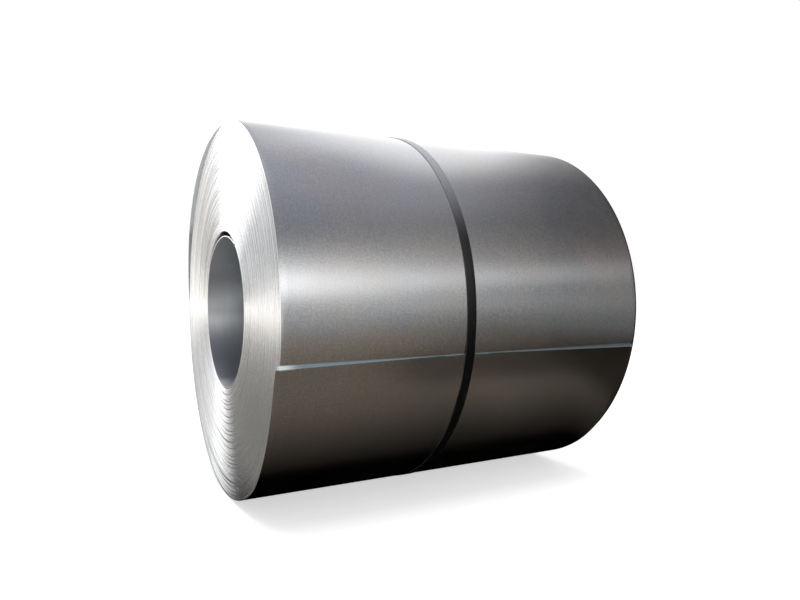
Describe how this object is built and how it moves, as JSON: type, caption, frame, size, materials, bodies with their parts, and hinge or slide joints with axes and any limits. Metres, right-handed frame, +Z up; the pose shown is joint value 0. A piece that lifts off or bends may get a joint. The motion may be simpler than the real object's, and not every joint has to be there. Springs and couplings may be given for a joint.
{
  "type": "steel coil",
  "caption": "Coil of bright sheet steel lying on its side, with an open mandrel bore, stepped turn edges on its ends, a loose strip tail and a steel strap round it.",
  "frame": {"origin": "on the floor, under the middle of the coil's box", "axes": "+X along the bore from the near end to the far end, +Z up, the strip's tail on the -Y side"},
  "size_m": [1.251, 1.2156, 1.2173],
  "materials": {
    "sheet_steel": "satin, as rolled",
    "strap_steel": "black waxed, semi-gloss",
    "seal_steel": "dark, semi-gloss"
  },
  "bodies": {
    "root": {"coil": "sheet_steel", "strap": "strap_steel", "strap_seal": "seal_steel"}
  },
  "joints": []
}
